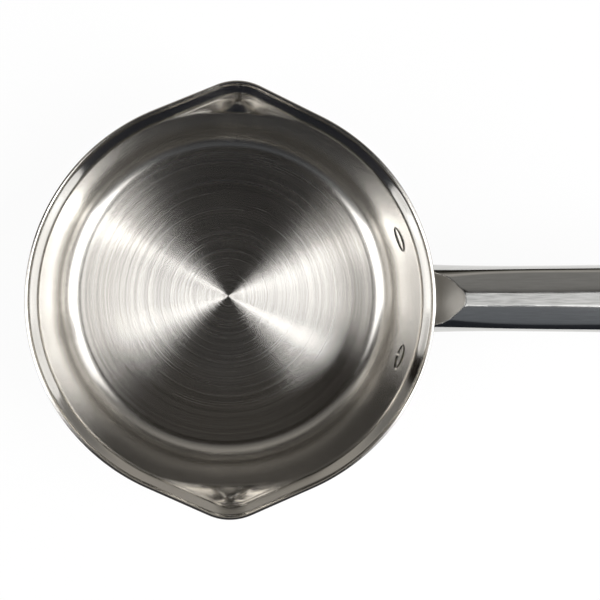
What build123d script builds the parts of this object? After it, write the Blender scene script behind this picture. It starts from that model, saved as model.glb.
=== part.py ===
"""Steel milk pan with two pouring spouts and a hollow riveted handle, in millimetres.

The origin is the middle of the base's resting face. +Z runs up the bowl's axis,
and +X runs out along the handle.
"""

from build123d import *
from math import acos, asin, cos, degrees, radians, sin, sqrt, tan
import os

os.makedirs("parts", exist_ok=True)

# Bowl, drawn from one sheet
bowl_radius = 80.0
bowl_depth = 75.0
bowl_sheet = 0.8
corner_radius = 9.0

# Flared lip that runs round the bowl's mouth and ends in a small rounded bead
lip_reach = 5.6
lip_bead_radius = 0.75
flare_bend_radius = 4.0
flare_angle = 50.0

# Two pouring spouts, pressed into the mouth on opposite sides
spout_reach = 6.0
spout_tip_radius = 16.6
spout_press_height = 7.4
spout_channel_half_width = 3.5
spout_channel_crown = 0.7
spout_middle_reach = 4.2
spout_turn = -1.5

# Heat-spreading base under the bowl's floor: a soft metal core closed by a steel cap
core_margin = 1.7
core_thickness = 4.4
cap_sheet = 0.6
cap_edge_radius = 2.0

# Bracket: a strap on the bowl's wall, with a sloping tongue that closes the handle
ear_radius = 10.0
strap_thickness = 2.2
tongue_thickness = 1.6
tongue_reach = 26.5
tongue_slope = 28.6

# Two solid rivets through the bowl and the strap
rivet_depth = 28.0
rivet_spacing = 53.2
rivet_shank_radius = 2.5
rivet_head_radius = 5.5
rivet_head_height = 2.2
rivet_tail_radius = 4.6
rivet_tail_height = 1.8
rivet_edge = 0.6

# Handle, two pressed half shells welded along their sides
handle_length = 182.0
handle_sheet = 1.0
handle_bow_radius = 760.0
handle_start_slope = 17.0
handle_start_drop = 0.4
facet_half_width = 10.8
facet_slope = 16.5
shoulder_share = 0.56
side_share = 0.76
belly_share = 0.6
underside_half_width = 6.2

front_half_width = 15.7
front_facet_half_width = 6.0
front_band_half_width = 2.6
front_rise = 10.6
front_drop = 9.6
front_shoulder_share = 0.3
front_side_share = 0.45

waist_distance = 39.0
waist_half_width = 14.6
waist_band_half_width = 3.9
waist_rise = 10.2
waist_drop = 9.0

grip_distance = 88.0
grip_half_width = 15.0
grip_band_half_width = 4.3
grip_rise = 9.8
grip_drop = 8.6

tail_length = 34.0
tail_half_width = 15.6
tail_band_half_width = 7.4
tail_rise = 5.6
tail_drop = 5.2

# Short tube that lines the hanging hole
eye_bore_radius = 5.0
eye_wall = 0.8
eye_stand = 0.35

# Clearances between pieces that were assembled, and how far a cut runs past its piece
seat_gap = 0.05
rivet_gap = 0.05
overrun = 1.0

base_thickness = cap_sheet + core_thickness
floor_height = base_thickness + bowl_sheet
rim_height = floor_height + bowl_depth
wall_outside = bowl_radius + bowl_sheet
strap_inside = wall_outside + seat_gap
strap_outside = strap_inside + strap_thickness
rivet_height = rim_height - rivet_depth
rivet_angle = degrees(asin(rivet_spacing / 2 / bowl_radius))
above_all = 2 * rim_height


def polar(distance, angle):
    """Point at a distance from the axis and an angle in degrees."""
    return (distance * cos(radians(angle)), distance * sin(radians(angle)))


def dome_radius(height, half_width):
    """Radius of a shallow dome of a given height and half width."""
    return (height**2 + half_width**2) / (2 * height)


# The lip's section. Its bend starts upright on the bowl's wall, so the bead's
# centre follows from the bend, the flare's angle and how far the lip reaches.
flare_across = sin(radians(flare_angle))
flare_up = cos(radians(flare_angle))
bend_centre_radius = flare_bend_radius - bowl_sheet / 2
bead_across = lip_reach - lip_bead_radius
straight_start = (
    flare_bend_radius - bend_centre_radius * flare_up,
    bend_centre_radius * flare_across,
)
straight_length = (bead_across - straight_start[0]) / flare_across
bead_up = straight_start[1] + straight_length * flare_up
flare_height = bead_up + lip_bead_radius
flare_base = rim_height - flare_height
press_base = flare_base - spout_press_height

# Where the flat flanks of a spout leave the round bowl
spout_centre = bowl_radius + spout_reach - spout_tip_radius
flank_angle = degrees(acos((bowl_radius - spout_tip_radius) / spout_centre))


def spout_plane(height):
    """Level plane whose local X axis points at the first spout."""
    turn = 90 + spout_turn
    return Plane(origin=(0, 0, height), x_dir=(*polar(1, turn), 0), z_dir=(0, 0, 1))


def draw_mouth_outline(radius, tip, shoulder, round_flanks=False):
    """Draw the bowl's outline with a spout at each end of the local X axis."""
    along, across = shoulder
    flank_start = Vector(*polar(radius, -flank_angle))
    flank_end = Vector(along, -across)
    for turn in (0, 180):
        start = flank_start.rotate(Axis.Z, turn)
        near = flank_end.rotate(Axis.Z, turn)
        far = Vector(along, across).rotate(Axis.Z, turn)
        end = Vector(*polar(radius, flank_angle + turn))
        following = Vector(*polar(radius, 180 - flank_angle + turn))
        if round_flanks:
            ThreePointArc(start, start + (near - start) / 2 + bulge(start, near, radius), near)
        else:
            Line(start, near)
        ThreePointArc(near, Vector(*polar(tip, turn)), far)
        if round_flanks:
            ThreePointArc(far, far + (end - far) / 2 + bulge(far, end, radius), end)
        else:
            Line(far, end)
        ThreePointArc(end, Vector(*polar(radius, 90 + turn)), following)


def bulge(start, end, radius):
    """Step from a chord's middle out to the circle that the chord belongs to."""
    middle = (start + end) / 2
    return middle.normalized() * (radius - middle.length)


def spout_shoulder(skin):
    """End of a flank at the flare's base, on a surface that lies skin outside the bowl."""
    across, up = polar(spout_tip_radius + skin, flank_angle)
    return (spout_centre + across, up)


def pressed_solid(skin):
    """Solid inside the pressed stretch of the wall, skin outside the bowl's inner face."""
    radius = bowl_radius + skin
    channel = spout_channel_half_width + skin * sin(radians(flank_angle))
    middle_tip = radius + spout_middle_reach
    middle_shoulder = (middle_tip - spout_channel_crown, channel)
    round_shoulder = (sqrt(radius**2 - channel**2), channel)
    with BuildPart() as solid:
        with BuildSketch(spout_plane(press_base)):
            with BuildLine():
                draw_mouth_outline(radius, radius, round_shoulder, round_flanks=True)
            make_face()
        with BuildSketch(spout_plane((press_base + flare_base) / 2)):
            with BuildLine():
                draw_mouth_outline(radius, middle_tip, middle_shoulder)
            make_face()
        with BuildSketch(spout_plane(flare_base)):
            with BuildLine():
                draw_mouth_outline(radius, radius + spout_reach, spout_shoulder(skin))
            make_face()
        loft()
    return solid.part


# Lip, a section swept round the mouth
with BuildSketch(spout_plane(flare_base)) as mouth:
    with BuildLine():
        draw_mouth_outline(bowl_radius, bowl_radius + spout_reach, spout_shoulder(0))
    make_face()

lip_turn = 90 + spout_turn - flank_angle
lip_plane = Plane(
    origin=(*polar(bowl_radius, lip_turn), flare_base),
    x_dir=(*polar(1, lip_turn), 0),
    z_dir=(*polar(1, lip_turn - 90), 0),
)
bead_centre = Vector(bead_across, bead_up)
flare_direction = Vector(flare_across, flare_up)
flare_side = Vector(-flare_up, flare_across)
bead_root = sqrt(lip_bead_radius**2 - (bowl_sheet / 2) ** 2)
inner_bend_end = Vector(
    flare_bend_radius * (1 - flare_up),
    flare_bend_radius * flare_across,
)
outer_bend_radius = flare_bend_radius - bowl_sheet
outer_bend_end = Vector(
    flare_bend_radius - outer_bend_radius * flare_up,
    outer_bend_radius * flare_across,
)
half_bend = radians(flare_angle / 2)

with BuildPart() as lip_ring:
    with BuildSketch(lip_plane):
        with BuildLine():
            bead_inner = bead_centre - flare_direction * bead_root + flare_side * bowl_sheet / 2
            bead_outer = bead_centre - flare_direction * bead_root - flare_side * bowl_sheet / 2
            inner_middle = Vector(
                flare_bend_radius * (1 - cos(half_bend)),
                flare_bend_radius * sin(half_bend),
            )
            outer_middle = Vector(
                flare_bend_radius - outer_bend_radius * cos(half_bend),
                outer_bend_radius * sin(half_bend),
            )
            ThreePointArc((0, 0), inner_middle, inner_bend_end)
            Line(inner_bend_end, bead_inner)
            ThreePointArc(bead_inner, bead_centre + flare_direction * lip_bead_radius, bead_outer)
            Line(bead_outer, outer_bend_end)
            ThreePointArc(outer_bend_end, outer_middle, (bowl_sheet, 0))
            Line((bowl_sheet, 0), (0, 0))
        make_face()
    sweep(path=mouth.sketch.face().outer_wire())

# Bowl: the drawn cup, its pressed stretch with the spouts, and the lip
with BuildPart() as pan_body:
    with BuildSketch(Plane.XZ):
        with BuildLine():
            flat_radius = bowl_radius - corner_radius
            corner_height = floor_height + corner_radius
            corner_middle = polar(1, -45)
            outer_corner_radius = corner_radius + bowl_sheet
            Line((0, base_thickness), (flat_radius, base_thickness))
            ThreePointArc(
                (flat_radius, base_thickness),
                (
                    flat_radius + outer_corner_radius * corner_middle[0],
                    corner_height + outer_corner_radius * corner_middle[1],
                ),
                (wall_outside, corner_height),
            )
            Line((wall_outside, corner_height), (wall_outside, press_base))
            Line((wall_outside, press_base), (bowl_radius, press_base))
            Line((bowl_radius, press_base), (bowl_radius, corner_height))
            ThreePointArc(
                (bowl_radius, corner_height),
                (
                    flat_radius + corner_radius * corner_middle[0],
                    corner_height + corner_radius * corner_middle[1],
                ),
                (flat_radius, floor_height),
            )
            Line((flat_radius, floor_height), (0, floor_height))
            Line((0, floor_height), (0, base_thickness))
        make_face()
    revolve(axis=Axis.Z)
    add(pressed_solid(bowl_sheet) - pressed_solid(0))
    add(lip_ring.part)
    for angle in (rivet_angle, -rivet_angle):
        wall_plane = Plane(origin=(0, 0, rivet_height), z_dir=(*polar(1, angle), 0))
        with BuildSketch(wall_plane):
            Circle(rivet_shank_radius + rivet_gap)
        extrude(amount=strap_outside, mode=Mode.SUBTRACT)

pan_body.part.label = "pan_body"
export_step(pan_body.part, "parts/pan_body.step")

# Core of the base, a soft metal disc pressed onto the underside of the floor
core_radius = bowl_radius - corner_radius - core_margin
with BuildPart() as base_core:
    with BuildSketch(Plane.XY.offset(cap_sheet)):
        Circle(core_radius)
    extrude(amount=core_thickness)
    fillet(base_core.faces().sort_by(Axis.Z)[0].edges(), cap_edge_radius - cap_sheet)

base_core.part.label = "base_core"
export_step(base_core.part, "parts/base_core.step")

# Cap of the base, a shallow steel dish round the core
cap_inside = core_radius + seat_gap
with BuildPart() as base_cap:
    with BuildSketch():
        Circle(cap_inside + cap_sheet)
    extrude(amount=base_thickness)
    fillet(base_cap.faces().sort_by(Axis.Z)[0].edges(), cap_edge_radius)
    with BuildPart(mode=Mode.PRIVATE) as cap_hollow:
        with BuildSketch(Plane.XY.offset(cap_sheet)):
            Circle(cap_inside)
        extrude(amount=base_thickness)
        fillet(cap_hollow.faces().sort_by(Axis.Z)[0].edges(), cap_edge_radius - cap_sheet)
    add(cap_hollow.part, mode=Mode.SUBTRACT)

base_cap.part.label = "base_cap"
export_step(base_cap.part, "parts/base_cap.step")

# Handle's line, an arc that rises from the strap and levels out towards the end.
# It runs through the weld between the two half shells.
seam_start = Vector(bowl_radius, 0, rivet_height - handle_start_drop)


def seam_slope(distance):
    """Slope of the handle's line, in degrees, at a distance out from the bowl's wall."""
    return degrees(asin(sin(radians(handle_start_slope)) - distance / handle_bow_radius))


def seam_point(distance):
    """Point of the handle's line at a distance out from the bowl's wall."""
    drop = cos(radians(seam_slope(distance))) - cos(radians(handle_start_slope))
    return seam_start + Vector(distance, 0, handle_bow_radius * drop)


def station_plane(distance):
    """Plane across the handle, with local X to the side and local Y upwards."""
    slope = radians(seam_slope(distance))
    return Plane(
        origin=seam_point(distance),
        x_dir=(0, 1, 0),
        z_dir=(cos(slope), 0, sin(slope)),
    )


front_widths = (front_half_width, front_facet_half_width, front_band_half_width)
waist_widths = (waist_half_width, facet_half_width, waist_band_half_width)
grip_widths = (grip_half_width, facet_half_width, grip_band_half_width)
tail_widths = (tail_half_width, facet_half_width, tail_band_half_width)
front_shares = (front_shoulder_share, front_side_share)
side_shares = (shoulder_share, side_share)
stations = [
    (0.0, *front_widths, front_rise, front_drop, *front_shares),
    (waist_distance, *waist_widths, waist_rise, waist_drop, *side_shares),
    (grip_distance, *grip_widths, grip_rise, grip_drop, *side_shares),
    (handle_length - tail_length, *tail_widths, tail_rise, tail_drop, *side_shares),
    (handle_length + overrun, *tail_widths, tail_rise, tail_drop, *side_shares),
]


def upper_half(inset, skirt=0.0):
    """Solid of the handle above its seam: a flat band, two facets and rounded sides."""
    tilt = radians(facet_slope)
    with BuildPart() as half:
        for distance, half_width, facet, band, rise, _, first_share, last_share in stations:
            side = half_width - inset
            top = rise - inset
            band_edge = band - inset * tan(tilt / 2)
            facet_edge = facet - inset * sin(tilt)
            facet_end = top - (facet_edge - band_edge) * tan(tilt)
            shoulder = (side - facet_edge) * first_share
            with BuildSketch(station_plane(distance)):
                with BuildLine() as outline:
                    Bezier(
                        (side, 0),
                        (side, facet_end * last_share),
                        (facet_edge + shoulder, facet_end - shoulder * tan(tilt)),
                        (facet_edge, facet_end),
                    )
                    Line((facet_edge, facet_end), (band_edge, top))
                    Line((band_edge, top), (0, top))
                    if skirt:
                        Line((side, 0), (side, -skirt))
                    Line((side, -skirt), (0, -skirt))
                    mirror(outline.edges(), about=Plane.YZ)
                make_face()
        loft()
    return half.part


def lower_half(inset, skirt=0.0):
    """Solid of the handle below its seam: rounded sides and a flat underside."""
    with BuildPart() as half:
        for distance, half_width, _, _, _, drop, _, _ in stations:
            side = half_width - inset
            bottom = drop - inset
            with BuildSketch(station_plane(distance)):
                with BuildLine() as outline:
                    Bezier(
                        (side, 0),
                        (side, -bottom * belly_share),
                        ((side + underside_half_width) / 2, -bottom),
                        (underside_half_width, -bottom),
                    )
                    Line((underside_half_width, -bottom), (0, -bottom))
                    if skirt:
                        Line((side, 0), (side, skirt))
                    Line((side, skirt), (0, skirt))
                    mirror(outline.edges(), about=Plane.YZ)
                make_face()
        loft()
    return half.part


def plan_prism(inset):
    """Upright prism of the handle's outline from above, with its rounded end."""
    end_radius = tail_half_width - inset
    straight_end = bowl_radius + handle_length - tail_half_width
    with BuildPart() as prism:
        with BuildSketch():
            with Locations((straight_end / 2, 0)):
                Rectangle(straight_end, 4 * front_half_width)
            with Locations((straight_end, 0)):
                Circle(end_radius)
        extrude(amount=above_all)
    return prism.part


# Slope across the handle's front, which the tongue's top face lies in
tongue_tilt = radians(tongue_slope)
slope_plane = Plane(
    origin=station_plane(tongue_reach).from_local_coords((0, front_rise, 0)),
    x_dir=(0, 1, 0),
    z_dir=(-sin(tongue_tilt), 0, cos(tongue_tilt)),
)


def slope_face(depth):
    """Oval in which the handle's form crosses its front slope, sunk by a depth."""
    with BuildPart() as front:
        add(upper_half(0))
        split(bisect_by=slope_plane.offset(-depth), keep=Keep.BOTTOM)
    return front.faces().filter_by(slope_plane)[0]


with BuildPart() as tongue_opening:
    extrude(slope_face(seat_gap), amount=rim_height, dir=(0, 0, 1), both=True)

# The handle's front is cut back to the strap's face
with BuildPart() as strap_clearance:
    with BuildSketch():
        Circle(strap_outside + seat_gap)
    extrude(amount=above_all)

# Hanging hole, square to the handle's line
eye_distance = handle_length - tail_half_width
eye_plane = Plane(
    origin=seam_point(eye_distance),
    x_dir=(0, 1, 0),
    z_dir=station_plane(eye_distance).y_dir,
)
eye_outside = eye_bore_radius + eye_wall
with BuildPart() as eye_clearance:
    with BuildSketch(eye_plane):
        Circle(eye_outside + seat_gap)
    extrude(amount=2 * tail_half_width, both=True)

# Upper half shell of the handle
with BuildPart() as handle_upper:
    add(upper_half(0))
    add(plan_prism(0), mode=Mode.INTERSECT)
    add(upper_half(handle_sheet, skirt=overrun) & plan_prism(handle_sheet), mode=Mode.SUBTRACT)
    add(tongue_opening.part, mode=Mode.SUBTRACT)
    add(strap_clearance.part, mode=Mode.SUBTRACT)
    add(eye_clearance.part, mode=Mode.SUBTRACT)

handle_upper.part.label = "handle_upper"
export_step(handle_upper.part, "parts/handle_upper.step")

# Lower half shell of the handle
with BuildPart() as handle_lower:
    add(lower_half(0))
    add(plan_prism(0), mode=Mode.INTERSECT)
    add(lower_half(handle_sheet, skirt=overrun) & plan_prism(handle_sheet), mode=Mode.SUBTRACT)
    add(strap_clearance.part, mode=Mode.SUBTRACT)
    add(eye_clearance.part, mode=Mode.SUBTRACT)

handle_lower.part.label = "handle_lower"
export_step(handle_lower.part, "parts/handle_lower.step")

# Eye, a short tube welded into the hanging hole
with BuildPart() as hanging_eye:
    with BuildSketch(eye_plane.offset(-tail_drop - eye_stand)):
        Circle(eye_outside)
        Circle(eye_bore_radius, mode=Mode.SUBTRACT)
    extrude(amount=tail_rise + tail_drop + 2 * eye_stand)

hanging_eye.part.label = "hanging_eye"
export_step(hanging_eye.part, "parts/hanging_eye.step")

# Bracket: the strap on the wall, with the tongue that closes the handle's front
with BuildPart() as bracket:
    ear_spacing = rivet_spacing * (strap_inside + strap_outside) / 2 / bowl_radius
    with BuildSketch():
        Circle(strap_outside)
        Circle(strap_inside, mode=Mode.SUBTRACT)
    extrude(amount=above_all)
    with BuildSketch(Plane.YZ):
        with Locations((0, rivet_height)):
            SlotCenterToCenter(ear_spacing, 2 * ear_radius)
    extrude(amount=2 * bowl_radius, mode=Mode.INTERSECT)
    for angle in (rivet_angle, -rivet_angle):
        strap_plane = Plane(origin=(0, 0, rivet_height), z_dir=(*polar(1, angle), 0))
        with BuildSketch(strap_plane):
            Circle(rivet_shank_radius + rivet_gap)
        extrude(amount=2 * bowl_radius, mode=Mode.SUBTRACT)
    with BuildPart(mode=Mode.PRIVATE) as tongue:
        extrude(slope_face(0), amount=tongue_thickness / cos(tongue_tilt), dir=(0, 0, -1))
        with BuildSketch():
            Circle(strap_outside - strap_thickness / 2)
        extrude(amount=above_all, mode=Mode.SUBTRACT)
    add(tongue.part)

bracket.part.label = "bracket"
export_step(bracket.part, "parts/bracket.step")

# Rivets: a domed head inside the bowl, a shank, and a tail set down on the strap
with BuildPart() as rivets:
    for angle in (rivet_angle, -rivet_angle):
        rivet_plane = Plane(
            origin=(0, 0, rivet_height),
            x_dir=(*polar(1, angle), 0),
            z_dir=(*polar(1, angle - 90), 0),
        )
        head_top = bowl_radius - rivet_head_height
        tail_top = strap_outside + rivet_tail_height
        with BuildSketch(rivet_plane):
            with BuildLine():
                RadiusArc(
                    (head_top, 0),
                    (bowl_radius - rivet_edge, rivet_head_radius),
                    dome_radius(rivet_head_height - rivet_edge, rivet_head_radius),
                )
                Polyline(
                    (bowl_radius - rivet_edge, rivet_head_radius),
                    (wall_outside, rivet_head_radius),
                    (wall_outside, rivet_tail_radius),
                    (strap_outside + rivet_edge, rivet_tail_radius),
                )
                RadiusArc(
                    (strap_outside + rivet_edge, rivet_tail_radius),
                    (tail_top, 0),
                    dome_radius(rivet_tail_height - rivet_edge, rivet_tail_radius),
                )
                Line((tail_top, 0), (head_top, 0))
            make_face()
        revolve(axis=Axis(rivet_plane.origin, rivet_plane.x_dir))
    with BuildSketch():
        Circle(strap_outside)
        Circle(bowl_radius, mode=Mode.SUBTRACT)
    extrude(amount=above_all, mode=Mode.SUBTRACT)
    for angle in (rivet_angle, -rivet_angle):
        shank_plane = Plane(origin=(0, 0, rivet_height), z_dir=(*polar(1, angle), 0))
        with BuildSketch(shank_plane.offset(bowl_radius - rivet_edge)):
            Circle(rivet_shank_radius)
        extrude(amount=strap_outside - bowl_radius + 2 * rivet_edge)

rivets.part.label = "rivets"
export_step(rivets.part, "parts/rivets.step")
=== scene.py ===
from math import asin, atan2, cos, hypot, pi, radians, sin, sqrt

import bmesh
import bpy
from mathutils import Euler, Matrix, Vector


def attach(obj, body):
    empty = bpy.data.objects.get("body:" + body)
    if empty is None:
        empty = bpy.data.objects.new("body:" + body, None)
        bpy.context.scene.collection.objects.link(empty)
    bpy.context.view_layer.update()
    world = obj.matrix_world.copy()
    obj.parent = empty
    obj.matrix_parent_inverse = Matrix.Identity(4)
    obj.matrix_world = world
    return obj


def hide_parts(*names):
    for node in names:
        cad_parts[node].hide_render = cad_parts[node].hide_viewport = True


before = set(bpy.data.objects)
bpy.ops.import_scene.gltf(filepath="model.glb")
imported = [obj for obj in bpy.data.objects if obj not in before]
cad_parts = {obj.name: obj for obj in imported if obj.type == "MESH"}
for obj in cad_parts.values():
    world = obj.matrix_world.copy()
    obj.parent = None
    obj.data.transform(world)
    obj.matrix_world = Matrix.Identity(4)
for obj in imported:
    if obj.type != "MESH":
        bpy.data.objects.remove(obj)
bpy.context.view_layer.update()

# ---------------------------------------------------------------------------------------
# Bowl. One disc of stainless steel, deep-drawn into a cup. Its lip flares out into a small
# rolled bead, and two pouring spouts are pressed into the mouth on opposite sides. The
# floor inside is brushed in circles, and the walls are spun and polished.
mm = 0.001
bowl_radius = 80 * mm
bowl_sheet = 0.8 * mm
bowl_seat = 5 * mm
corner_radius = 9 * mm
press_base = 67.237 * mm
flare_base = 74.637 * mm
flare_angle = radians(50)
flare_bend_radius = 4 * mm
press_run_in = 5 * mm
bead_radius = 0.75 * mm
bead_centre = Vector((84.85 * mm, 0, 80.05 * mm))

spout_turns = (radians(88.5), radians(268.5))
spout_flank = radians(24)
spout_fold = radians(6)
spout_reach = 6 * mm
spout_tip_radius = 16.6 * mm
spout_middle_reach = 4.2 * mm
spout_channel = 3.5 * mm
spout_crown = 0.7 * mm

merge_distance = 0.002 * mm
tolerance = 0.01 * mm
map_length = 200 * mm
bowl_steps = 720


def draw_to(section, end, across, up, runs=1):
    """Draws a straight run of an upright section on from its last vertex."""
    start, goal = end.co.copy(), Vector((across, 0, up))
    for run in range(1, runs + 1):
        vert = section.verts.new(start.lerp(goal, run / runs))
        section.edges.new((end, vert))
        end = vert
    return end


def bend_to(section, end, across, up, turn, runs):
    """Bends an upright section on from its last vertex, round a centre."""
    made = bmesh.ops.spin(
        section, geom=[end], cent=(across, 0, up), axis=(0, 1, 0), angle=turn, steps=runs
    )
    return next(part for part in made["geom_last"] if isinstance(part, bmesh.types.BMVert))


def turn_section(section, steps, axis=(0, 0, 1), centre=(0, 0, 0)):
    """Turns a section into a closed round form whose faces point outwards."""
    outline = list(section.verts) + list(section.edges)
    bmesh.ops.spin(
        section, geom=outline, cent=centre, axis=axis, angle=2 * pi, steps=steps, use_merge=True
    )
    bmesh.ops.remove_doubles(section, verts=section.verts, dist=merge_distance)
    bmesh.ops.recalc_face_normals(section, faces=section.faces)


def finish_piece(form, name, materials, slot, *nodes):
    """Makes a piece of a form, and lets it stand for its nodes of the construction model."""
    mesh = bpy.data.meshes.new(name)
    form.to_mesh(mesh)
    form.free()
    for material in materials:
        mesh.materials.append(material)
    mesh.shade_smooth()
    piece = bpy.data.objects.new(name, mesh)
    bpy.context.scene.collection.objects.link(piece)
    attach(piece, "root")
    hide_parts(*nodes)
    return piece


def spout_spot(turn, offset, rise, shares):
    """Where a spot of the mouth lies near a spout, in the spout's own directions."""
    side = abs(turn)
    radius = bowl_radius + offset
    tip = spout_tip_radius + offset
    channel = spout_channel + offset * sin(spout_flank)
    level_round = asin(channel / radius)
    foot = Vector((radius * cos(spout_flank), radius * sin(spout_flank)))
    tips = (radius, radius + spout_middle_reach, radius + spout_reach)
    shoulders = (
        Vector((radius * cos(level_round), channel)),
        Vector((radius + spout_middle_reach - spout_crown, channel)),
        Vector((radius + spout_reach - tip + tip * cos(spout_flank), tip * sin(spout_flank))),
    )
    spot = Vector((0, 0))
    for share, reach, shoulder in zip(shares, tips, shoulders):
        if side < spout_fold:
            across = side / spout_fold
            spot += share * Vector(
                (reach + (shoulder.x - reach) * across**2, shoulder.y * across)
            )
        else:
            along = (side - spout_fold) / (spout_flank - spout_fold)
            level = shoulder.lerp(foot, along)
            if shoulder is shoulders[0]:
                level = level.normalized() * radius
            spot += share * level
    return Vector((spot.x, spot.y if turn > 0 else -spot.y, rise))


bowl = bmesh.new()
end = bowl.verts.new((0, 0, bowl_seat + bowl_sheet))
flat = bowl_radius - corner_radius
corner_rise = bowl_seat + bowl_sheet + corner_radius
lean = Vector((sin(flare_angle), 0, cos(flare_angle)))
square = Vector((-cos(flare_angle), 0, sin(flare_angle)))
neck = sqrt(bead_radius**2 - (bowl_sheet / 2) ** 2)
bead_in = bead_centre - lean * neck + square * bowl_sheet / 2
bend_out = flare_bend_radius - bowl_sheet
end = draw_to(bowl, end, flat, bowl_seat + bowl_sheet, 4)
end = bend_to(bowl, end, flat, corner_rise, -pi / 2, 10)
end = draw_to(bowl, end, bowl_radius, press_base - press_run_in, 3)
end = draw_to(bowl, end, bowl_radius, press_base, 2)
end = draw_to(bowl, end, bowl_radius, flare_base, 16)
end = bend_to(bowl, end, bowl_radius + flare_bend_radius, flare_base, flare_angle, 6)
end = draw_to(bowl, end, bead_in.x, bead_in.z, 3)
end = bend_to(
    bowl, end, bead_centre.x, bead_centre.z, 2 * (pi - atan2(bowl_sheet / 2, neck)), 14
)
end = draw_to(
    bowl,
    end,
    bowl_radius + flare_bend_radius - bend_out * cos(flare_angle),
    flare_base + bend_out * sin(flare_angle),
    3,
)
end = bend_to(bowl, end, bowl_radius + flare_bend_radius, flare_base, -flare_angle, 6)
end = draw_to(bowl, end, bowl_radius + bowl_sheet, press_base, 12)
end = draw_to(bowl, end, bowl_radius + bowl_sheet, press_base - press_run_in, 2)
end = draw_to(bowl, end, bowl_radius + bowl_sheet, corner_rise, 2)
end = bend_to(bowl, end, flat, corner_rise, pi / 2, 10)
end = draw_to(bowl, end, 0, bowl_seat, 2)
bmesh.ops.rotate(
    bowl, verts=bowl.verts, cent=(0, 0, 0), matrix=Euler((0, 0, pi / bowl_steps)).to_matrix()
)
turn_section(bowl, bowl_steps)

# The press pushes the mouth out into a folded channel that opens into a round spout
for vert in bowl.verts:
    pressed = min(1, (vert.co.z - press_base) / (flare_base - press_base))
    if pressed < 0:
        continue
    shares = (
        2 * (pressed - 0.5) * (pressed - 1),
        4 * pressed * (1 - pressed),
        2 * pressed * (pressed - 0.5),
    )
    for spout_turn in spout_turns:
        turn = (atan2(vert.co.y, vert.co.x) - spout_turn + pi) % (2 * pi) - pi
        if abs(turn) < spout_flank:
            offset = hypot(vert.co.x, vert.co.y) - bowl_radius
            spot = spout_spot(turn, offset, vert.co.z, shares)
            spot.rotate(Euler((0, 0, spout_turn)))
            vert.co = spot
            break


def map_turning(form):
    """Maps a turned form, with the map's first direction up its section, across the brushing."""
    turning = form.loops.layers.uv.new("turning")
    for face in form.faces:
        middle = face.calc_center_median()
        heading = atan2(middle.y, middle.x)
        for loop in face.loops:
            reach = hypot(loop.vert.co.x, loop.vert.co.y)
            turn = atan2(loop.vert.co.y, loop.vert.co.x) if reach > mm else heading
            turn = heading + (turn - heading + pi) % (2 * pi) - pi
            loop[turning].uv = ((reach + loop.vert.co.z) / map_length, turn / (2 * pi))


map_turning(bowl)
for face in bowl.faces:
    middle = face.calc_center_median()
    on_floor = abs(middle.z - bowl_seat - bowl_sheet) < tolerance
    face.material_index = 0 if on_floor and hypot(middle.x, middle.y) < flat else 1


def make_turning_marks():
    """Fine lines that a turned or brushed surface keeps, all round its axis."""
    group = bpy.data.node_groups.new("turning marks", "ShaderNodeTree")
    face = group.interface
    for name, value in (("Lines per mm", 3.0), ("Sweep", 2.0), ("Contrast", 1.0)):
        face.new_socket(name, in_out="INPUT", socket_type="NodeSocketFloat").default_value = value
    face.new_socket("Marks", in_out="OUTPUT", socket_type="NodeSocketFloat")
    face.new_socket("Bands", in_out="OUTPUT", socket_type="NodeSocketFloat")
    nodes, links = group.nodes, group.links
    given = nodes.new("NodeGroupInput")
    where = nodes.new("ShaderNodeTexCoord")
    parts = nodes.new("ShaderNodeSeparateXYZ")
    links.new(where.outputs["Object"], parts.inputs[0])
    flat_place = nodes.new("ShaderNodeCombineXYZ")
    links.new(parts.outputs["X"], flat_place.inputs["X"])
    links.new(parts.outputs["Y"], flat_place.inputs["Y"])
    reach = nodes.new("ShaderNodeVectorMath")
    reach.operation = "LENGTH"
    links.new(flat_place.outputs[0], reach.inputs[0])
    heading = nodes.new("ShaderNodeVectorMath")
    heading.operation = "NORMALIZE"
    links.new(flat_place.outputs[0], heading.inputs[0])
    swept = nodes.new("ShaderNodeVectorMath")
    swept.operation = "SCALE"
    links.new(heading.outputs[0], swept.inputs[0])
    links.new(given.outputs["Sweep"], swept.inputs["Scale"])
    along = nodes.new("ShaderNodeMath")
    along.operation = "ADD"
    links.new(reach.outputs["Value"], along.inputs[0])
    links.new(parts.outputs["Z"], along.inputs[1])
    fine = nodes.new("ShaderNodeMath")
    fine.operation = "MULTIPLY"
    links.new(along.outputs[0], fine.inputs[0])
    per_metre = nodes.new("ShaderNodeMath")
    per_metre.operation = "MULTIPLY"
    per_metre.inputs[1].default_value = 1000
    links.new(given.outputs["Lines per mm"], per_metre.inputs[0])
    links.new(per_metre.outputs[0], fine.inputs[1])
    lift = nodes.new("ShaderNodeCombineXYZ")
    links.new(fine.outputs[0], lift.inputs["Z"])
    place = nodes.new("ShaderNodeVectorMath")
    place.operation = "ADD"
    links.new(swept.outputs[0], place.inputs[0])
    links.new(lift.outputs[0], place.inputs[1])
    for output, scale, detail in (("Marks", 1.0, 3.0), ("Bands", 0.12, 2.0)):
        noise = nodes.new("ShaderNodeTexNoise")
        noise.inputs["Scale"].default_value = scale
        noise.inputs["Detail"].default_value = detail
        links.new(place.outputs[0], noise.inputs["Vector"])
        spread = nodes.new("ShaderNodeMapRange")
        spread.inputs["From Min"].default_value = 0.3
        spread.inputs["From Max"].default_value = 0.7
        links.new(noise.outputs["Fac"], spread.inputs["Value"])
        links.new(given.outputs["Contrast"], spread.inputs["To Max"])
        if output == "Marks":
            sink = nodes.new("NodeGroupOutput")
        links.new(spread.outputs[0], sink.inputs[output])
    return group


turning_marks = make_turning_marks()


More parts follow.
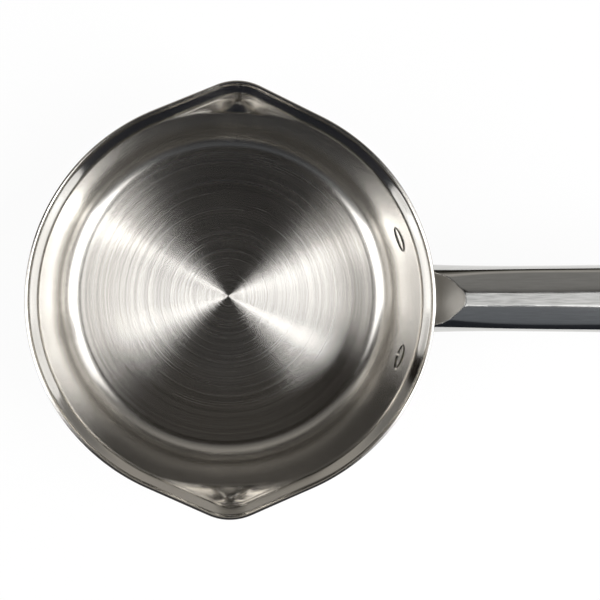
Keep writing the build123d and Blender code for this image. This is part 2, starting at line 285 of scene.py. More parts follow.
def make_steel(name, colour, roughness, swing, bump, marks, anisotropy=0.0, map_name=None):
    """Bare metal whose colour, gloss and relief follow its turning marks."""
    material = bpy.data.materials.new(name)
    material.use_nodes = True
    nodes, links = material.node_tree.nodes, material.node_tree.links
    shader = nodes["Principled BSDF"]
    shader.inputs["Metallic"].default_value = 1.0
    shader.inputs["Anisotropic"].default_value = anisotropy
    lines = nodes.new("ShaderNodeGroup")
    lines.node_tree = turning_marks
    for socket, value in marks.items():
        lines.inputs[socket].default_value = value
    tint = nodes.new("ShaderNodeMix")
    tint.data_type = "RGBA"
    tint.inputs["A"].default_value = (*[c * 0.88 for c in colour], 1)
    tint.inputs["B"].default_value = (*[min(1, c * 1.08) for c in colour], 1)
    both = nodes.new("ShaderNodeMix")
    both.inputs["Factor"].default_value = 0.5
    links.new(lines.outputs["Marks"], both.inputs["A"])
    links.new(lines.outputs["Bands"], both.inputs["B"])
    links.new(both.outputs["Result"], tint.inputs["Factor"])
    links.new(tint.outputs["Result"], shader.inputs["Base Color"])
    gloss = nodes.new("ShaderNodeMapRange")
    gloss.inputs["To Min"].default_value = roughness - swing
    gloss.inputs["To Max"].default_value = roughness + swing
    links.new(lines.outputs["Marks"], gloss.inputs["Value"])
    links.new(gloss.outputs[0], shader.inputs["Roughness"])
    relief = nodes.new("ShaderNodeBump")
    relief.inputs["Distance"].default_value = bump
    links.new(lines.outputs["Marks"], relief.inputs["Height"])
    links.new(relief.outputs["Normal"], shader.inputs["Normal"])
    if map_name:
        tangent = nodes.new("ShaderNodeTangent")
        tangent.direction_type = "UV_MAP"
        tangent.uv_map = map_name
        links.new(tangent.outputs[0], shader.inputs["Tangent"])
    return material


brushed_floor = make_steel(
    "brushed floor", (0.60, 0.582, 0.555), 0.25, 0.03, 0.0003 * mm,
    {"Lines per mm": 1.5, "Sweep": 0.3, "Contrast": 1.0}, 1.0, "turning",
)
spun_wall = make_steel(
    "spun wall", (0.62, 0.60, 0.565), 0.15, 0.03, 0.0003 * mm,
    {"Lines per mm": 1.2, "Sweep": 0.5, "Contrast": 0.6}, 0.9, "turning",
)

# The corner keeps some of the floor's brushing, which fades out up the wall
brushing_end = corner_rise + 8 * mm
corner_brushing = 0.085
nodes, links = spun_wall.node_tree.nodes, spun_wall.node_tree.links
where = nodes.new("ShaderNodeTexCoord")
parts = nodes.new("ShaderNodeSeparateXYZ")
links.new(where.outputs["Object"], parts.inputs[0])
fading = nodes.new("ShaderNodeMapRange")
fading.interpolation_type = "SMOOTHSTEP"
fading.inputs["From Min"].default_value = bowl_seat
fading.inputs["From Max"].default_value = brushing_end
fading.inputs["To Min"].default_value = corner_brushing
fading.inputs["To Max"].default_value = 0
links.new(parts.outputs["Z"], fading.inputs["Value"])
roughened = nodes.new("ShaderNodeMath")
roughened.operation = "ADD"
links.new(fading.outputs[0], roughened.inputs[0])
links.new(nodes["Map Range"].outputs[0], roughened.inputs[1])
links.new(roughened.outputs[0], nodes["Principled BSDF"].inputs["Roughness"])
finish_piece(bowl, "bowl", (brushed_floor, spun_wall), "bowl_steel", "pan_body")

# ---------------------------------------------------------------------------------------
# Base. A soft aluminium disc spreads the heat, and a shallow steel cap is pressed and
# brazed over it. The core can't be seen. The cap's resting face is brushed in circles.
cap_radius = 69.95 * mm
cap_sheet = 0.6 * mm
cap_edge_radius = 2 * mm

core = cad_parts["base_core"]
core_metal = make_steel(
    "pressed aluminium", (0.78, 0.78, 0.79), 0.42, 0.05, 0.001 * mm,
    {"Lines per mm": 1.0, "Sweep": 2.0, "Contrast": 1.0},
)
core.data.materials.clear()
core.data.materials.append(core_metal)

cap = bmesh.new()
end = cap.verts.new((0, 0, 0))
cap_flat = cap_radius - cap_edge_radius
end = draw_to(cap, end, cap_flat, 0, 16)
end = bend_to(cap, end, cap_flat, cap_edge_radius, -pi / 2, 6)
end = draw_to(cap, end, cap_radius, bowl_seat, 3)
end = draw_to(cap, end, cap_radius - cap_sheet, bowl_seat)
end = draw_to(cap, end, cap_radius - cap_sheet, cap_edge_radius, 3)
end = bend_to(cap, end, cap_flat, cap_edge_radius, pi / 2, 6)
end = draw_to(cap, end, 0, cap_sheet, 4)
turn_section(cap, 240)
map_turning(cap)
brushed_cap = make_steel(
    "brushed cap", (0.60, 0.59, 0.57), 0.36, 0.06, 0.0005 * mm,
    {"Lines per mm": 1.6, "Sweep": 3.0, "Contrast": 1.0}, 0.95, "turning",
)
finish_piece(cap, "base_cap_dish", (brushed_cap,), "cap_steel", "base_cap")

# ---------------------------------------------------------------------------------------
# Bracket. One plate of stainless steel: a strap with round ears that is bent to the
# bowl's wall, and a sloping oval tongue that closes the front of the hollow handle. The
# strap is ground along its length. The tongue has a fine satin finish, and its steel is
# coloured far darker than the strap's as painted shade, inside a ground edge of the
# strap's own steel.
strap_inside = 80.85 * mm
strap_outside = 83.05 * mm
ear_radius = 10 * mm
ear_spacing = 54.483 * mm
rivet_height = 52.8 * mm
tongue_thickness = 1.6 * mm
tongue_slope = radians(28.6)
tongue_reach = 26.5 * mm

handle_length = 182 * mm
handle_bow_radius = 760 * mm
handle_start_slope = radians(17)
handle_start = Vector((80 * mm, 0, 52.4 * mm))
tail_round = 15.6 * mm
tail_reach = 15.4 * mm
facet_fall = 0.29621
stations = (0, 39 * mm, 88 * mm, 148 * mm, 183 * mm)
half_widths = (15.7 * mm, 14.6 * mm, 15.0 * mm, 15.6 * mm, 15.6 * mm)
facet_widths = (6.0 * mm, 10.8 * mm, 10.8 * mm, 10.8 * mm, 10.8 * mm)
band_widths = (1.2 * mm, 2.6 * mm, 3.1 * mm, 7.4 * mm, 7.4 * mm)
facet_drops = (1.01 * mm, 2.04 * mm, 1.93 * mm, 1.01 * mm, 1.01 * mm)
facet_bulges = (0.05 * mm, 0.08 * mm, 0.08 * mm, 0.02 * mm, 0.02 * mm)
rises = (10.6 * mm, 10.2 * mm, 9.8 * mm, 5.6 * mm, 5.6 * mm)
drops = (9.6 * mm, 9.0 * mm, 8.6 * mm, 5.2 * mm, 5.2 * mm)
shoulders = (0.3, 0.56, 0.56, 0.56, 0.56)
side_rises = (0.45, 0.76, 0.76, 0.76, 0.76)


def slope_at(distance):
    """Slope of the handle's line at a distance out from the bowl."""
    return asin(sin(handle_start_slope) - distance / handle_bow_radius)


def line_spot(distance):
    """Point of the handle's line, the weld between its halves, at a distance out."""
    rise = handle_bow_radius * (cos(slope_at(distance)) - cos(handle_start_slope))
    return handle_start + Vector((distance, 0, rise))


def pull_of(station, distance):
    """Pull of one station on the handle's form, so that it flows through all of them."""
    pull = 1
    for other in stations:
        if other != station:
            pull *= (distance - other) / (station - other)
    return pull


def round_over(start, first, second, goal, part):
    """Point of a rounded side, drawn as one smooth curve between two edges."""
    rest = 1 - part
    return tuple(
        rest**3 * a + 3 * rest**2 * part * b + 3 * rest * part**2 * c + part**3 * d
        for a, b, c, d in zip(start, first, second, goal)
    )


def upper_spot(index, share):
    """Place across the upper half at a station: flat band, swelling facet and rounded side."""
    side, facet = half_widths[index], facet_widths[index]
    band, top = band_widths[index], rises[index]
    facet_end = top - facet_drops[index]
    shoulder = (side - facet) * shoulders[index]
    if share <= 0.2:
        return band * share / 0.2, top
    if share <= 0.5:
        part = (share - 0.2) / 0.3
        swell = 4 * facet_bulges[index] * part * (1 - part)
        return band + (facet - band) * part, top + (facet_end - top) * part + swell
    return round_over(
        (facet, facet_end),
        (facet + shoulder, facet_end - shoulder * facet_fall),
        (side, facet_end * side_rises[index]),
        (side, 0),
        (share - 0.5) / 0.5,
    )


def lower_spot(index, share):
    """Place across the lower half at a station: a flat underside and a rounded side."""
    side, bottom, flat_side = half_widths[index], drops[index], 6.2 * mm
    if share <= 0.3:
        return flat_side * share / 0.3, -bottom
    return round_over(
        (flat_side, -bottom),
        ((side + flat_side) / 2, -bottom),
        (side, -bottom * 0.6),
        (side, 0),
        (share - 0.3) / 0.7,
    )


def skin_spot(rib, distance):
    """Point of the handle's skin on a lengthwise rib, drawn in where the end rounds off."""
    pulls = [pull_of(station, distance) for station in stations]
    line = sum((line_spot(s) * pull for s, pull in zip(stations, pulls)), Vector())
    offset = sum((spot * pull for spot, pull in zip(rib, pulls)), Vector())
    past = max(0, distance - handle_length + tail_round) / tail_reach
    offset.y *= sqrt(max(0, 1 - past**2))
    thinned = max(0, 1 - past**5) ** 0.2
    return line + Vector((offset.x * thinned, offset.y, offset.z * thinned))


def make_skin(spot_across, start_radius, straight_cells=300, round_cells=24, across_cells=80):
    """Lays a sheet over one half of the handle, from the bowl's side to the round end."""
    skin = bmesh.new()
    cells = straight_cells + round_cells
    bmesh.ops.create_grid(skin, x_segments=cells, y_segments=across_cells, size=1)
    length_map = skin.loops.layers.uv.new("length")
    straight_end = handle_length - tail_round
    ribs = {}
    for vert in skin.verts:
        run, share = (vert.co.x + 1) / 2 * cells, round(vert.co.y, 4)
        if share not in ribs:
            rib = []
            for index, station in enumerate(stations):
                across, up = spot_across(index, abs(share))
                across = across if share > 0 else -across
                tilt = slope_at(station)
                rib.append(Vector((-sin(tilt) * up, across, cos(tilt) * up)))
            start = 3 * mm
            for _ in range(8):
                spot = skin_spot(rib, start)
                start += start_radius - hypot(spot.x, spot.y)
            ribs[share] = rib, start
        rib, start = ribs[share]
        if run <= straight_cells:
            distance = start + (straight_end - start) * run / straight_cells
        else:
            round_part = (run - straight_cells) / round_cells
            distance = straight_end + tail_reach * sin(pi / 2 * round_part)
        for loop in vert.link_loops:
            loop[length_map].uv = (distance * 4, 0.5 + share / 2)
        vert.co = skin_spot(rib, distance)
    bmesh.ops.remove_doubles(skin, verts=skin.verts, dist=merge_distance)
    return skin


top_tilt = slope_at(tongue_reach)
tongue_top = line_spot(tongue_reach) + Vector((-sin(top_tilt), 0, cos(top_tilt))) * rises[0]
tongue_square = Vector((-sin(tongue_slope), 0, cos(tongue_slope)))


def soften_mouth(form, passes=20):
    """Rounds the outline that the tongue shares with the mouth of the handle's top shell."""
    line = [v for v in form.verts if abs((v.co - tongue_top).dot(tongue_square)) < tolerance]
    line.sort(key=lambda vert: vert.co.y)
    for _ in range(passes):
        places = [vert.co.copy() for vert in line]
        for vert, before, after in zip(line[1:-1], places, places[2:]):
            vert.co = (2 * vert.co + before + after) / 4


strap = bmesh.new()
bmesh.ops.create_circle(strap, cap_ends=True, segments=72, radius=ear_radius)
for vert in strap.verts:
    far = 0
    if abs(vert.co.x) > tolerance:
        far = ear_spacing / 2 if vert.co.x > 0 else -ear_spacing / 2
    vert.co = (strap_inside, vert.co.x + far, rivet_height + vert.co.y)
bend_cell = 2 * mm
for cut in range(-18, 19):
    bmesh.ops.bisect_plane(
        strap,
        geom=list(strap.verts) + list(strap.edges) + list(strap.faces),
        plane_co=(0, cut * bend_cell, 0),
        plane_no=(0, 1, 0),
        dist=0.001 * mm,
    )
raised = bmesh.ops.extrude_face_region(strap, geom=list(strap.faces))["geom"]
for part in raised:
    if isinstance(part, bmesh.types.BMVert):
        part.co.x = strap_outside
for vert in strap.verts:
    vert.co.x = sqrt(vert.co.x**2 - vert.co.y**2)
bmesh.ops.recalc_face_normals(strap, faces=strap.faces)
outline = [edge for edge in strap.edges if edge.calc_face_angle(0) > radians(40)]
bmesh.ops.bevel(
    strap, geom=outline, offset=0.45 * mm, offset_type="OFFSET", segments=3, profile=0.5,
    affect="EDGES", material=-1,
)

# The tongue's outline is where the handle's own form crosses the slope of its front
tongue = make_skin(upper_spot, (strap_inside + strap_outside) / 2)
crossing = bmesh.ops.bisect_plane(
    tongue,
    geom=list(tongue.verts) + list(tongue.edges) + list(tongue.faces),
    plane_co=tongue_top,
    plane_no=tongue_square,
)["geom_cut"]
kept = {part for part in crossing if isinstance(part, bmesh.types.BMEdge)}
bmesh.ops.delete(
    tongue, geom=[edge for edge in tongue.edges if edge not in kept], context="EDGES_FACES"
)
bmesh.ops.delete(
    tongue, geom=[vert for vert in tongue.verts if not vert.link_edges], context="VERTS"
)
bmesh.ops.remove_doubles(tongue, verts=tongue.verts, dist=0.02 * mm)
soften_mouth(tongue)
ends = [vert for vert in tongue.verts if len(vert.link_edges) == 1]
tongue.edges.new(ends)
bmesh.ops.contextual_create(tongue, geom=list(tongue.edges))
plate = bmesh.ops.extrude_face_region(tongue, geom=list(tongue.faces))["geom"]
bmesh.ops.translate(
    tongue,
    verts=[part for part in plate if isinstance(part, bmesh.types.BMVert)],
    vec=(0, 0, -tongue_thickness / cos(tongue_slope)),
)
bmesh.ops.recalc_face_normals(tongue, faces=tongue.faces)
rim = [
    edge
    for edge in tongue.edges
    if edge.calc_face_angle(0) > radians(30)
    and all(abs((vert.co - tongue_top).dot(tongue_square)) < tolerance for vert in edge.verts)
]
bmesh.ops.bevel(
    tongue, geom=rim, offset=0.45 * mm, offset_type="OFFSET", segments=2, profile=0.5,
    affect="EDGES", material=-1,
)
tongue.normal_update()
for face in tongue.faces:
    face.material_index = 1 if 0.1 < face.normal.dot(tongue_square) < 0.99 else 0


def make_grain():
    """Fine grain that blasting, grinding or polishing leaves, even or drawn out one way."""
    group = bpy.data.node_groups.new("metal grain", "ShaderNodeTree")
    face = group.interface
    size = face.new_socket("Grains per metre", in_out="INPUT", socket_type="NodeSocketFloat")
    size.default_value = 1000
    drawn = face.new_socket("Drawn", in_out="INPUT", socket_type="NodeSocketVector")
    drawn.default_value = (1, 1, 1)
    face.new_socket("Grain", in_out="OUTPUT", socket_type="NodeSocketFloat")
    face.new_socket("Cloud", in_out="OUTPUT", socket_type="NodeSocketFloat")
    nodes, links = group.nodes, group.links
    given, sink = nodes.new("NodeGroupInput"), nodes.new("NodeGroupOutput")
    where = nodes.new("ShaderNodeTexCoord")
    laid = nodes.new("ShaderNodeVectorMath")
    laid.operation = "MULTIPLY"
    links.new(where.outputs["Object"], laid.inputs[0])
    links.new(given.outputs["Drawn"], laid.inputs[1])
    fine = nodes.new("ShaderNodeTexNoise")
    fine.inputs["Detail"].default_value = 3
    links.new(laid.outputs[0], fine.inputs["Vector"])
    links.new(given.outputs["Grains per metre"], fine.inputs["Scale"])
    coarse = nodes.new("ShaderNodeTexNoise")
    coarse.inputs["Scale"].default_value = 90
    coarse.inputs["Detail"].default_value = 2
    links.new(where.outputs["Object"], coarse.inputs["Vector"])
    for noise, output in ((fine, "Grain"), (coarse, "Cloud")):
        spread = nodes.new("ShaderNodeMapRange")
        spread.inputs["From Min"].default_value = 0.3
        spread.inputs["From Max"].default_value = 0.7
        links.new(noise.outputs["Fac"], spread.inputs["Value"])
        links.new(spread.outputs[0], sink.inputs[output])
    return group


metal_grain = make_grain()


def make_plain_steel(name, colour, roughness, grains, drawn, swing, bump):
    """Steel whose colour, gloss and relief follow an even or drawn-out grain."""
    material = bpy.data.materials.new(name)
    material.use_nodes = True
    nodes, links = material.node_tree.nodes, material.node_tree.links
    shader = nodes["Principled BSDF"]
    shader.inputs["Metallic"].default_value = 1.0
    grain = nodes.new("ShaderNodeGroup")
    grain.node_tree = metal_grain
    grain.inputs["Grains per metre"].default_value = grains
    grain.inputs["Drawn"].default_value = drawn
    both = nodes.new("ShaderNodeMix")
    both.inputs["Factor"].default_value = 0.4
    links.new(grain.outputs["Grain"], both.inputs["A"])
    links.new(grain.outputs["Cloud"], both.inputs["B"])
    tint = nodes.new("ShaderNodeMix")
    tint.data_type = "RGBA"
    tint.inputs["A"].default_value = (*[c * 0.9 for c in colour], 1)
    tint.inputs["B"].default_value = (*[min(1, c * 1.08) for c in colour], 1)
    links.new(both.outputs["Result"], tint.inputs["Factor"])
    links.new(tint.outputs["Result"], shader.inputs["Base Color"])
    gloss = nodes.new("ShaderNodeMapRange")
    gloss.inputs["To Min"].default_value = roughness - swing
    gloss.inputs["To Max"].default_value = roughness + swing
    links.new(grain.outputs["Grain"], gloss.inputs["Value"])
    links.new(gloss.outputs[0], shader.inputs["Roughness"])
    relief = nodes.new("ShaderNodeBump")
    relief.inputs["Distance"].default_value = bump
    links.new(grain.outputs["Grain"], relief.inputs["Height"])
    links.new(relief.outputs["Normal"], shader.inputs["Normal"])
    return material


ground_strap = make_plain_steel(
    "ground strap", (0.62, 0.61, 0.59), 0.28, 900, (1, 0.08, 1), 0.08, 0.002 * mm
)
# The tongue's steel is coloured far darker than the strap's: painted shade.
satin_tongue_painted_shade = make_plain_steel(
    "satin tongue painted shade", (0.30, 0.285, 0.26), 0.46, 2500, (1, 1, 1), 0.06, 0.004 * mm
)
strap_piece = finish_piece(strap, "bracket_strap", (ground_strap,), "bracket_steel", "bracket")
tongue_piece = finish_piece(
    tongue, "bracket_tongue", (satin_tongue_painted_shade, ground_strap), "bracket_steel", "bracket"
)
for piece in (strap_piece, tongue_piece):
    piece.data.set_sharp_from_angle(angle=radians(30))

# ---------------------------------------------------------------------------------------
# Rivets. Two solid rivets hold the strap. Each has a low polished dome inside the bowl,
# and its tail is set down into a smaller dome on the strap. Their steel is coloured far
# darker than the bowl's, as painted shade.
rivet_spacing = 53.2 * mm
rivet_turn = asin(rivet_spacing / 2 / bowl_radius)
rivet_head_radius = 5.5 * mm
rivet_tail_radius = 4.6 * mm
rivet_shank_radius = 2.5 * mm
rivet_top = 77.8 * mm
rivet_tail = 84.85 * mm
rivet_rim = 0.6 * mm
head_seat = bowl_radius + 0.2 * mm
tail_seat = strap_outside - 0.1 * mm


def dome_to(section, end, rise, top):
    """Draws a shallow dome from a rivet's rim to its middle, on the rivet's own axis."""
    half = end.co.z
    radius = (rise**2 + half**2) / (2 * rise)
    way = 1 if top < end.co.x else -1
    return bend_to(section, end, top + way * radius, 0, way * asin(half / radius), 8)


rivets = bmesh.new()
for turn in (rivet_turn, -rivet_turn):
    rivet = bmesh.new()
    end = rivet.verts.new((bowl_radius - rivet_rim, 0, rivet_head_radius))
    dome_to(rivet, end, bowl_radius - rivet_rim - rivet_top, rivet_top)
    end = draw_to(rivet, end, head_seat, rivet_head_radius)
    end = draw_to(rivet, end, head_seat, rivet_shank_radius)
    end = draw_to(rivet, end, tail_seat, rivet_shank_radius)
    end = draw_to(rivet, end, tail_seat, rivet_tail_radius)
    end = draw_to(rivet, end, strap_outside + rivet_rim, rivet_tail_radius)
    dome_to(rivet, end, rivet_tail - strap_outside - rivet_rim, rivet_tail)
    turn_section(rivet, 64, axis=(1, 0, 0))
    bmesh.ops.translate(rivet, verts=rivet.verts, vec=(0, 0, rivet_height))
    bmesh.ops.rotate(
        rivet, verts=rivet.verts, cent=(0, 0, 0), matrix=Euler((0, 0, turn)).to_matrix()
    )
    holder = bpy.data.meshes.new("one rivet")
    rivet.to_mesh(holder)
    rivet.free()
    rivets.from_mesh(holder)
    bpy.data.meshes.remove(holder)
# The rivets' steel is coloured far darker than the bowl's: painted shade.
polished_rivet_painted_shade = make_plain_steel(
    "polished rivet painted shade", (0.36, 0.345, 0.32), 0.06, 700, (1, 1, 1), 0.03, 0.003 * mm
)
rivet_piece = finish_piece(rivets, "rivet_pair", (polished_rivet_painted_shade,), "rivet_steel", "rivets")
rivet_piece.data.set_sharp_from_angle(angle=radians(40))

# ---------------------------------------------------------------------------------------
# Handle. Two half shells pressed from 1 mm stainless sheet and welded along their sides.
# A narrow band runs along the top between two facets. The shells are polished, and the
# band keeps fine brushing along the handle, with its steel coloured darker as painted shade.
handle_sheet = 1 * mm
eye_distance = handle_length - tail_round
eye_hole_radius = 5.83 * mm
eye_tilt = slope_at(eye_distance)
eye_axis = Vector((-sin(eye_tilt), 0, cos(eye_tilt)))
eye_centre = line_spot(eye_distance)


def open_eye(skin):
    """Cuts the round hole for the eye, and draws the cells round it to a true circle."""
    gone = [
        face
        for face in skin.faces
        if (face.calc_center_median() - eye_centre).cross(eye_axis).length < eye_hole_radius
    ]
    ring = {vert for face in gone for vert in face.verts}
    bmesh.ops.delete(skin, geom=gone, context="FACES")
    for vert in skin.verts:
        if vert in ring and vert.is_valid and vert.is_boundary:
            offset = vert.co - eye_centre
            up = eye_axis * offset.dot(eye_axis)
            vert.co = eye_centre + up + (offset - up).normalized() * eye_hole_radius


shell_start = strap_outside + 0.05 * mm
upper = make_skin(upper_spot, shell_start)
bmesh.ops.bisect_plane(
    upper,
    geom=list(upper.verts) + list(upper.edges) + list(upper.faces),
    plane_co=tongue_top,
    plane_no=tongue_square,
    clear_outer=True,
)
soften_mouth(upper)
open_eye(upper)
bmesh.ops.recalc_face_normals(upper, faces=upper.faces)
lower = make_skin(lower_spot, shell_start)
open_eye(lower)
bmesh.ops.recalc_face_normals(lower, faces=lower.faces)
grip_middle = Vector((180 * mm, 0, 80 * mm))
for skin, way in ((upper, 1), (lower, -1)):
    middle = min(skin.faces, key=lambda face: (face.calc_center_median() - grip_middle).length)
    if middle.normal.z * way < 0:
        bmesh.ops.reverse_faces(skin, faces=skin.faces)


def make_handle_steel():
    """Polished steel whose top band is brushed along the handle in fine streaks, with the band's
    steel coloured far darker as painted shade.
    """
    material = bpy.data.materials.new("handle steel")
    material.use_nodes = True
    nodes, links = material.node_tree.nodes, material.node_tree.links
    shader = nodes["Principled BSDF"]
    shader.inputs["Metallic"].default_value = 1.0
    shader.inputs["Anisotropic"].default_value = 0.8
    tangent = nodes.new("ShaderNodeTangent")
    tangent.direction_type = "UV_MAP"
    tangent.uv_map = "length"
    links.new(tangent.outputs[0], shader.inputs["Tangent"])
    streaks = nodes.new("ShaderNodeGroup")
    streaks.node_tree = metal_grain
    streaks.inputs["Grains per metre"].default_value = 1600
    streaks.inputs["Drawn"].default_value = (0.04, 1, 0.3)
    split = nodes.new("ShaderNodeSeparateXYZ")
    mapped = nodes.new("ShaderNodeUVMap")
    mapped.uv_map = "length"
    links.new(mapped.outputs[0], split.inputs[0])
    off = nodes.new("ShaderNodeMath")
    off.operation = "SUBTRACT"
    off.inputs[1].default_value = 0.5
    links.new(split.outputs["Y"], off.inputs[0])
    away = nodes.new("ShaderNodeMath")
    away.operation = "ABSOLUTE"
    links.new(off.outputs[0], away.inputs[0])
    band = nodes.new("ShaderNodeMapRange")
    band.interpolation_type = "SMOOTHSTEP"
    band.inputs["From Min"].default_value = 0.085
    band.inputs["From Max"].default_value = 0.125
    band.inputs["To Min"].default_value = 1
    band.inputs["To Max"].default_value = 0
    links.new(away.outputs[0], band.inputs["Value"])
    brushed = nodes.new("ShaderNodeMapRange")
    brushed.inputs["To Min"].default_value = 0.38
    brushed.inputs["To Max"].default_value = 0.54
    links.new(streaks.outputs["Grain"], brushed.inputs["Value"])
    gloss = nodes.new("ShaderNodeMix")
    gloss.inputs["A"].default_value = 0.14
    links.new(band.outputs[0], gloss.inputs["Factor"])
    links.new(brushed.outputs[0], gloss.inputs["B"])
    links.new(gloss.outputs["Result"], shader.inputs["Roughness"])
    tones = []
    polished_tones = (0.60, 0.595, 0.58, 1), (0.66, 0.655, 0.64, 1)
    # The band's steel is coloured far darker than the polished steel: painted shade.
    brushed_band_painted_shade_tones = (0.21, 0.21, 0.205, 1), (0.35, 0.35, 0.34, 1)
    for dull, bright in (polished_tones, brushed_band_painted_shade_tones):
        tone = nodes.new("ShaderNodeMix")
        tone.data_type = "RGBA"
        tone.inputs["A"].default_value = dull
        tone.inputs["B"].default_value = bright
        links.new(streaks.outputs["Grain"], tone.inputs["Factor"])
        tones.append(tone)
    tint = nodes.new("ShaderNodeMix")
    tint.data_type = "RGBA"
    links.new(band.outputs[0], tint.inputs["Factor"])
    links.new(tones[0].outputs["Result"], tint.inputs["A"])
    links.new(tones[1].outputs["Result"], tint.inputs["B"])
    links.new(tint.outputs["Result"], shader.inputs["Base Color"])
    depth = nodes.new("ShaderNodeMath")
    depth.operation = "MULTIPLY"
    links.new(streaks.outputs["Grain"], depth.inputs[0])
    links.new(band.outputs[0], depth.inputs[1])
    relief = nodes.new("ShaderNodeBump")
    relief.inputs["Distance"].default_value = 0.003 * mm
    links.new(depth.outputs[0], relief.inputs["Height"])
    links.new(relief.outputs["Normal"], shader.inputs["Normal"])
    return material


handle_steel = make_handle_steel()
for form, name, node in (
    (upper, "handle_top_shell", "handle_upper"),
    (lower, "handle_under_shell", "handle_lower"),
):
    piece = finish_piece(form, name, (handle_steel,), "handle_steel", node)
    wall = piece.modifiers.new("sheet", "SOLIDIFY")
    wall.thickness = handle_sheet
    wall.offset = -1
    edge = piece.modifiers.new("rounded edges", "BEVEL")
    edge.width = 0.25 * mm
    edge.segments = 2
    edge.limit_method = "ANGLE"
    edge.angle_limit = radians(12)
    edge.harden_normals = True

# ---------------------------------------------------------------------------------------
# Eye. A short steel tube welded into the hanging hole, with rounded, polished ends. It
# uses the rivets' steel, coloured darker as painted shade.
eye_bore_radius = 5 * mm
eye_outer_radius = 5.8 * mm
eye_half_length = 5.75 * mm
eye_edge = 0.3 * mm

eye = bmesh.new()
end = eye.verts.new((eye_bore_radius, 0, -eye_half_length + eye_edge))
first = end
end = draw_to(eye, end, eye_bore_radius, eye_half_length - eye_edge, 4)
end = draw_to(eye, end, eye_bore_radius + eye_edge, eye_half_length)
end = draw_to(eye, end, eye_outer_radius - eye_edge, eye_half_length)
end = draw_to(eye, end, eye_outer_radius, eye_half_length - eye_edge)
end = draw_to(eye, end, eye_outer_radius, -eye_half_length + eye_edge, 4)
end = draw_to(eye, end, eye_outer_radius - eye_edge, -eye_half_length)
end = draw_to(eye, end, eye_bore_radius + eye_edge, -eye_half_length)
eye.edges.new((end, first))
turn_section(eye, 72)
bmesh.ops.rotate(
    eye, verts=eye.verts, cent=(0, 0, 0), matrix=Euler((0, -eye_tilt, 0)).to_matrix()
)
bmesh.ops.translate(eye, verts=eye.verts, vec=eye_centre)
# The eye takes the rivets' darkened steel: painted shade.
eye_piece = finish_piece(eye, "eye_tube", (polished_rivet_painted_shade,), "eye_steel", "hanging_eye")
eye_piece.data.set_sharp_from_angle(angle=radians(50))

# ---------------------------------------------------------------------------------------
# Studio. A plain white table, tall soft boxes at the left and right, and a dark ceiling
# over the camera, which is what gives the brushed floor its bright and dark wedges.
table_half_width = 0.6
table = bmesh.new()
bmesh.ops.create_grid(table, x_segments=1, y_segments=1, size=table_half_width)
table_mesh = bpy.data.meshes.new("table")
table.to_mesh(table_mesh)
table.free()
table_top = bpy.data.objects.new("table", table_mesh)
bpy.context.scene.collection.objects.link(table_top)
table_white = bpy.data.materials.new("table white")
table_white.use_nodes = True
nodes, links = table_white.node_tree.nodes, table_white.node_tree.links
paper = nodes["Principled BSDF"]
paper.inputs["Base Color"].default_value = (0.9, 0.9, 0.9, 1)
paper.inputs["Roughness"].default_value = 0.9
paper.inputs["Specular IOR Level"].default_value = 0.0
glow = nodes.new("ShaderNodeEmission")
glow.inputs["Color"].default_value = (1, 1, 1, 1)
path = nodes.new("ShaderNodeLightPath")
seen = nodes.new("ShaderNodeMath")
seen.operation = "MAXIMUM"
links.new(path.outputs["Is Camera Ray"], seen.inputs[0])
links.new(path.outputs["Is Glossy Ray"], seen.inputs[1])
seen_all = nodes.new("ShaderNodeMath")
seen_all.operation = "MAXIMUM"
links.new(seen.outputs[0], seen_all.inputs[0])
links.new(path.outputs["Is Transmission Ray"], seen_all.inputs[1])
share = nodes.new("ShaderNodeMath")
share.operation = "MULTIPLY"
share.inputs[1].default_value = 0.93
links.new(seen_all.outputs[0], share.inputs[0])
mixed = nodes.new("ShaderNodeMixShader")
links.new(share.outputs[0], mixed.inputs["Fac"])
links.new(paper.outputs[0], mixed.inputs[1])
links.new(glow.outputs[0], mixed.inputs[2])
links.new(mixed.outputs[0], nodes["Material Output"].inputs["Surface"])
table_mesh.materials.append(table_white)


def hang_soft_box(name, heading, half_width, low, high, radiance):
    """Hangs a soft box that faces the pan and fills a range of heights above the table."""
    distance = 1.5
    rise, spread = radians(low + high) / 2, radians(high - low) / 2
    width = 2 * distance * half_width
    height = 2 * distance * sin(spread) / cos(spread)
    lamp = bpy.data.lights.new(name, "AREA")
    lamp.shape = "RECTANGLE"
    lamp.size = width
    lamp.size_y = height
    lamp.energy = radiance * pi * width * height
    box = bpy.data.objects.new(name, lamp)
    turn = radians(heading)
    box.location = (
        distance * cos(rise) * cos(turn),
        distance * cos(rise) * sin(turn),
        distance * sin(rise),
    )
    box.rotation_euler = (pi / 2 - rise, 0, turn + pi / 2)
    box.visible_camera = False
    bpy.context.scene.collection.objects.link(box)


hang_soft_box("low box right", -8, 0.60, 3, 30, 1.35)
hang_soft_box("low box left", 192, 0.46, 3, 30, 1.3)
hang_soft_box("high box right", -14, 0.26, 30, 74, 4.8)
hang_soft_box("dim box right", 20, 0.12, 30, 70, 2.0)
hang_soft_box("strip right", -31, 0.03, 30, 74, 7.0)
hang_soft_box("high box left", 194, 0.24, 30, 74, 3.3)
hang_soft_box("strip left", 206, 0.05, 30, 74, 3.4)

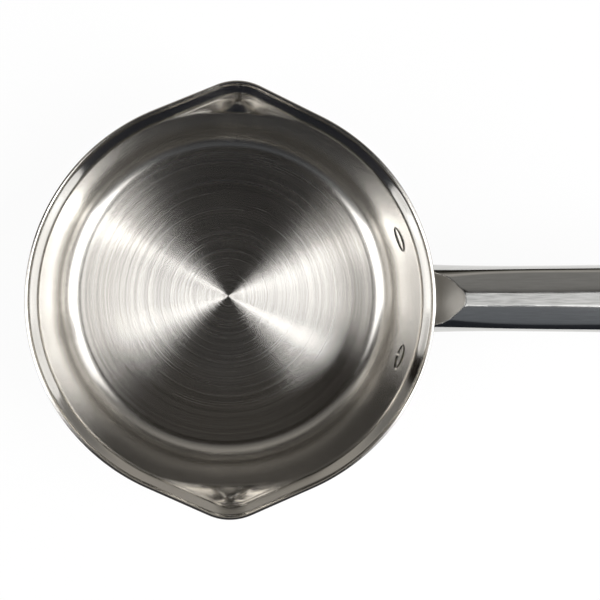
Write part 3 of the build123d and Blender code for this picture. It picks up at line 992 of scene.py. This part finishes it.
world = bpy.data.worlds.new("studio")
bpy.context.scene.world = world
world.use_nodes = True
nodes, links = world.node_tree.nodes, world.node_tree.links
nodes.clear()
where = nodes.new("ShaderNodeTexCoord")
parts = nodes.new("ShaderNodeSeparateXYZ")
links.new(where.outputs["Generated"], parts.inputs[0])
sides = nodes.new("ShaderNodeValToRGB")
sides.color_ramp.elements[0].position = 0.0
sides.color_ramp.elements[0].color = (0.018, 0.02, 0.025, 1)
sides.color_ramp.elements[1].position = 1.0
sides.color_ramp.elements[1].color = (0.02, 0.018, 0.015, 1)
for position, colour in (
    (0.195, (0.02, 0.022, 0.028, 1)),
    (0.215, (0.14, 0.15, 0.165, 1)),
    (0.30, (0.14, 0.15, 0.165, 1)),
    (0.315, (0.009, 0.0065, 0.0045, 1)),
    (0.685, (0.009, 0.0065, 0.0045, 1)),
    (0.70, (0.24, 0.235, 0.225, 1)),
    (0.80, (0.24, 0.235, 0.225, 1)),
    (0.87, (0.42, 0.40, 0.37, 1)),
    (0.92, (0.42, 0.40, 0.37, 1)),
    (0.95, (0.20, 0.19, 0.17, 1)),
    (0.97, (0.20, 0.19, 0.17, 1)),
    (0.98, (0.02, 0.018, 0.015, 1)),
):
    stop = sides.color_ramp.elements.new(position)
    stop.color = colour
half_turn = nodes.new("ShaderNodeMapRange")
half_turn.inputs["From Min"].default_value = -1
half_turn.inputs["From Max"].default_value = 1
links.new(parts.outputs["Y"], half_turn.inputs["Value"])
links.new(half_turn.outputs[0], sides.inputs[0])
path = nodes.new("ShaderNodeLightPath")
fill = nodes.new("ShaderNodeMix")
fill.data_type = "RGBA"
fill.inputs["A"].default_value = (0.12, 0.12, 0.12, 1)
links.new(path.outputs["Is Glossy Ray"], fill.inputs["Factor"])
links.new(sides.outputs["Color"], fill.inputs["B"])
back = nodes.new("ShaderNodeMix")
back.data_type = "RGBA"
back.inputs["B"].default_value = (1, 1, 1, 1)
links.new(path.outputs["Is Camera Ray"], back.inputs["Factor"])
links.new(fill.outputs["Result"], back.inputs["A"])
air = nodes.new("ShaderNodeBackground")
links.new(back.outputs["Result"], air.inputs["Color"])
out = nodes.new("ShaderNodeOutputWorld")
links.new(air.outputs[0], out.inputs["Surface"])

# ---------------------------------------------------------------------------------------
# Camera. It looks down into the bowl from just left of its middle, as in the photograph.
lens = bpy.data.cameras.new("camera")
lens.lens = 61.2
lens.sensor_width = 36
lens.clip_start = 0.01
camera = bpy.data.objects.new("camera", lens)
camera.location = (-16.7 * mm, 16.0 * mm, 505 * mm)
camera.rotation_euler = (
    Euler((radians(-2.07), radians(-5.93), radians(-0.19)), "ZXY").to_matrix().to_euler()
)
bpy.context.scene.collection.objects.link(camera)
bpy.context.scene.camera = camera
bpy.context.scene.view_settings.view_transform = "Standard"
